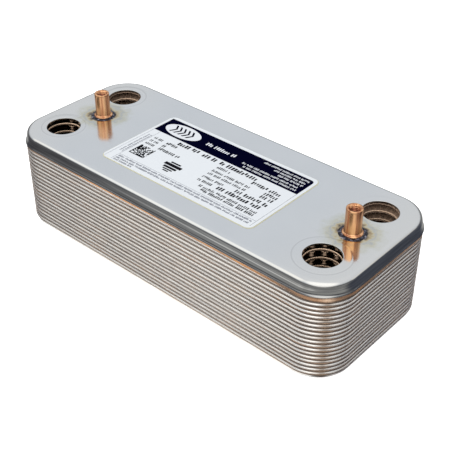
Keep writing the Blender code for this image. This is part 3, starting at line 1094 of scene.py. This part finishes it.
def build_film(material):
    bm = bmesh.new()
    rows = rounded_rows(LABEL_X, LABEL_Y, LABEL_HALF_X, LABEL_HALF_Y, LABEL_CORNER, 110)
    add_sheet(bm, rows, film_height, LABEL_TOP - COVER_TOP_Z - 0.005 * MM)
    piece("label_film", bm, material, "label_film", "rating_label", sharp=30)


def build_adhesive(material):
    """A sliver of yellowed adhesive that shows round the film's edge."""
    bm = bmesh.new()
    rows = rounded_rows(
        LABEL_X + ADHESIVE_SHIFT,
        LABEL_Y - ADHESIVE_SHIFT,
        LABEL_HALF_X + ADHESIVE_GROWTH,
        LABEL_HALF_Y + ADHESIVE_GROWTH,
        LABEL_CORNER + ADHESIVE_GROWTH,
        60,
    )
    add_sheet(bm, rows, lambda x, y: COVER_TOP_Z + ADHESIVE_HEIGHT, 0.9 * ADHESIVE_HEIGHT)
    label_piece("label_adhesive", bm, material)


def print_row(left, width, y, steps):
    """Points along one line of print, in metres."""
    return [((left + width * step / steps) * MM, y * MM) for step in range(steps + 1)]


def add_block(bm, left, low, right, high, layers=1):
    """A printed block, cut into short lengths so that it follows the film."""
    width = right - left
    rows = [print_row(left, width, y, max(1, int(width / 2.0))) for y in (low, high)]
    add_sheet(bm, rows, print_height(layers), layers * INK)


def add_words(bm, rng, row, layers=1, upright=False):
    """A row of print: plain bars in word-like groups, where a real label has letters."""
    at, end, y, height, weight, longest = row
    advance = height * 0.55
    left = rng.randint(2, longest)
    while at + advance < end:
        if left == 0:
            at += advance * 0.8
            left = rng.randint(4, longest + 3)
            continue
        wide = advance * (0.30 + 0.28 * weight) * rng.uniform(0.85, 1.3)
        tall = height * rng.choice((1.0, 0.9, 0.72))
        low = y + (height - tall) * rng.choice((0.0, 0.0, 1.0))
        corners = (at, low, at + wide, low + tall)
        if upright:
            corners = (-corners[3], corners[0], -corners[1], corners[2])
        add_block(bm, *corners, layers)
        at += advance
        left -= 1


def build_band(material):
    """The dark panel across the film's upper part, with one round corner."""
    rows = []
    for row in range(BAND_ROWS + 1):
        y = BAND_LOW + (BAND_HIGH - BAND_LOW) * math.sin(math.pi / 2 * row / BAND_ROWS)
        width = BAND_RIGHT - corner_pull(y, BAND_HIGH, BAND_CORNER) - BAND_LEFT
        rows.append(print_row(BAND_LEFT, width, y, BAND_COLUMNS))
    bm = bmesh.new()
    add_sheet(bm, rows, print_height(1), INK)
    label_piece("label_band", bm, material)


def build_white_print(material):
    """On the dark panel: a plain oval badge and rows of unreadable text."""
    rng = random.Random(3)
    rows = []
    for row in range(BADGE_ROWS):
        angle = math.pi * ((row + 0.25) / (BADGE_ROWS + 0.5) - 0.5)
        reach = BADGE_HALF_X * math.cos(angle)
        y = BADGE_Y + BADGE_HALF_Y * math.sin(angle)
        rows.append(print_row(BADGE_X - reach, 2 * reach, y, BADGE_COLUMNS))
    bm = bmesh.new()
    add_sheet(bm, rows, print_height(2), INK)
    for row in WHITE_TEXT:
        add_words(bm, rng, row, layers=2)
    label_piece("label_print_white", bm, material)


def build_badge_marks(material):
    """Chevrons on the oval badge, like the folds of a plate."""
    bm = bmesh.new()
    for number in range(CHEVRON_COUNT):
        tip = CHEVRON_START + CHEVRON_PITCH * number
        for side in (-1, 1):
            rows = []
            for share in (0.0, 0.5, 1.0):
                y = BADGE_Y + side * CHEVRON_HALF_HEIGHT * share
                rows.append(print_row(tip - CHEVRON_SWEEP * share, CHEVRON_WIDTH, y, 1))
            add_sheet(bm, rows, print_height(3), INK)
    label_piece("label_badge_marks", bm, material)


def build_black_print(material):
    """The film's dark print: a title, two columns of rows, a block code and a plain mark."""
    rng = random.Random(11)
    bm = bmesh.new()
    for row in BLACK_TEXT:
        add_words(bm, rng, row)
    for row in range(CODE_ROWS):
        for column in range(CODE_COLUMNS):
            if row == 0 or column == 0 or rng.random() < 0.6:
                x, y = CODE_X + column * CODE_CELL, CODE_Y + row * CODE_CELL
                add_block(bm, x, y, x + CODE_CELL, y + CODE_CELL)
    for block in PLAIN_MARK:
        add_block(bm, *block)
    label_piece("label_print_black", bm, material)


def build_grey_print(material):
    """The film's fine print and its thin frame lines."""
    rng = random.Random(23)
    bm = bmesh.new()
    for row in FINE_TEXT:
        add_words(bm, rng, row)
    for row in UPRIGHT_TEXT:
        add_words(bm, rng, row, upright=True)
    for block in FRAME_LINES:
        add_block(bm, *block)
    label_piece("label_print_grey", bm, material)


def build_label():
    build_film(printed("label_white", (0.60, 0.625, 0.655), (0.635, 0.66, 0.685), 0.45, 0.3))
    build_adhesive(printed("adhesive", (0.42, 0.40, 0.24), (0.56, 0.53, 0.36), 0.35, 0.5))
    navy = printed("ink_navy", (0.0006, 0.0007, 0.008), (0.0012, 0.0015, 0.012), 0.6, 0.0)
    build_band(navy)
    build_white_print(printed("ink_white", (0.60, 0.62, 0.65), (0.64, 0.66, 0.69), 0.45, 0.3))
    build_badge_marks(navy)
    build_black_print(printed("ink_black", (0.003, 0.003, 0.005), (0.007, 0.007, 0.010), 0.6, 0.02))
    build_grey_print(printed("ink_grey", (0.06, 0.065, 0.09), (0.10, 0.105, 0.14), 0.5, 0.1))


# ---- Stage ----
# The sky's colour from straight down (0) to straight up (1).
SKY = (
    (0.0, (0.36, 0.36, 0.36)),
    (0.33, (0.50, 0.50, 0.49)),
    (0.43, (0.40, 0.40, 0.39)),
    (0.485, (0.13, 0.13, 0.14)),
    (0.55, (0.15, 0.15, 0.16)),
    (0.62, (0.52, 0.54, 0.56)),
    (0.70, (0.84, 0.87, 0.91)),
    (1.0, (0.93, 0.95, 0.98)),
)
# Soft panels that the steel mirrors: (direction, degrees to the full tone, degrees to its end, tone).
PANELS = (
    ((-0.56, -0.60, -0.57), 3, 18, (1.5, 1.47, 1.42)),
    ((0.45, 0.55, -0.70), 10, 30, (0.13, 0.125, 0.13)),
    ((0.12, -0.80, -0.58), 8, 20, (1.05, 1.04, 1.02)),
    ((-0.25, -0.76, -0.60), 5, 20, (1.35, 1.33, 1.29)),
    ((-0.57, -0.34, -0.75), 4, 16, (1.4, 1.36, 1.3)),
    ((-0.52, -0.64, 0.55), 7, 27, (1.38, 1.35, 1.28)),
    ((0.58, -0.56, -0.59), 5, 15, (0.22, 0.22, 0.23)),
    ((0.62, 0.66, -0.42), 16, 44, (0.10, 0.11, 0.14)),
    ((-0.88, -0.42, -0.24), 14, 30, (0.12, 0.12, 0.13)),
    ((0.45, -0.58, 0.62), 22, 46, (1.5, 1.48, 1.44)),
    ((0.75, 0.61, 0.25), 5, 15, (0.90, 0.89, 0.87)),
)
SOFTBOX_SIZE = 0.5
SOFTBOX_AIM = Vector((0.0, 0.0, 0.03))
KEY_PLACE, KEY_WATTS = Vector((-0.55, -0.45, 0.75)), 3.0
FILL_PLACE, FILL_WATTS = Vector((0.15, -0.75, 0.60)), 1.6
FLOOR_HALF = 12.0
FLOOR_DROP = 0.2 * MM
CAMERA_PLACE = Vector((0.23509, -0.25480, 0.26149))
CAMERA_AIM = Vector((0.01328, -0.00525, 0.02489))
CAMERA_LENS = 72.714
CAMERA_SENSOR = 36.0


def aimed_from(place, target):
    """The rotation that points a light or a camera from its place at a target."""
    return (target - place).to_track_quat("-Z", "Y").to_euler()


def softbox(name, place, watts):
    data = bpy.data.lights.new(name, "AREA")
    data.shape = "RECTANGLE"
    data.size, data.size_y = SOFTBOX_SIZE, SOFTBOX_SIZE
    data.energy = watts
    light = into_scene(name, data)
    light.location = place
    light.rotation_euler = aimed_from(place, SOFTBOX_AIM)
    light.visible_glossy = False


def lobe(tree, direction, toward, inner, outer):
    """1 within inner degrees of a direction, and 0 past outer."""
    aim = tuple(Vector(toward).normalized())
    dot = add(tree, "ShaderNodeVectorMath", {"operation": "DOT_PRODUCT"}, i0=direction, i1=aim)
    edge, full = math.cos(math.radians(outer)), math.cos(math.radians(inner))
    return remap(tree, dot.outputs["Value"], edge, full, smooth=True)


def build_world():
    """A light tent: pale blue-grey above, darker at the horizon, with soft bright and dark panels."""
    world = bpy.data.worlds.new("studio")
    bpy.context.scene.world = world
    world.use_nodes = True
    tree = world.node_tree
    direction = add(tree, "ShaderNodeTexCoord").outputs["Generated"]
    up = add(tree, "ShaderNodeSeparateXYZ", i0=direction).outputs[2]
    colour = ramp(tree, remap(tree, up, -1.0, 1.0), SKY)
    for toward, inner, outer, tone in PANELS:
        colour = blend(tree, lobe(tree, direction, toward, inner, outer), colour, tone)
    connect(tree, tree.nodes["Background"], Color=colour, Strength=1.0)


def build_floor():
    half = FLOOR_HALF
    corners = ((-half, -half), (half, -half), (half, half), (-half, half))
    bm = bmesh.new()
    bm.faces.new([bm.verts.new((x, y, -FLOOR_DROP)) for x, y in corners])
    floor = mesh_object("floor", bm, floor_white())
    floor.visible_glossy = False


def build_stage():
    build_floor()
    build_world()
    softbox("key", KEY_PLACE, KEY_WATTS)
    softbox("fill", FILL_PLACE, FILL_WATTS)
    bpy.context.scene.view_settings.view_transform = "Standard"


def build_camera():
    data = bpy.data.cameras.new("camera")
    data.lens = CAMERA_LENS
    data.sensor_width = CAMERA_SENSOR
    data.clip_start, data.clip_end = 0.01, 60.0
    camera = into_scene("camera", data)
    camera.location = CAMERA_PLACE
    camera.rotation_euler = aimed_from(CAMERA_PLACE, CAMERA_AIM)
    bpy.context.scene.camera = camera


def build_stack():
    """The cover, the trays under it, and the copper under every lip."""
    tray = tray_steel()
    copper = braze_copper("braze_copper", (0.22, 0.165, 0.135), (0.42, 0.275, 0.185), 0.46, 0.66)
    rich_copper = braze_copper("braze_copper_rich", (0.30, 0.20, 0.14), (0.66, 0.35, 0.17), 0.42, 0.60)
    build_cover(cover_steel())
    build_end_tray(tray)
    for number in range(1, PLATE_COUNT + 1):
        build_tray(number, tray)
    for number in range(1, PLATE_COUNT + 1):
        build_fillet(number, copper)
    build_fillet(PLATE_COUNT + 1, rich_copper)


def build_studs():
    """Each stud and its flash. The lean is the direction, in radians, of the flash's wide side."""
    stud, oxide = stud_copper(), weld_oxide()
    for side, seed, lean in (("left", 3.0, -1.0), ("right", 9.0, -0.6)):
        build_stud(side, stud)
        build_flash(side, oxide, seed, lean)


def main():
    build_camera()
    build_stack()
    build_studs()
    build_label()
    build_stage()


main()
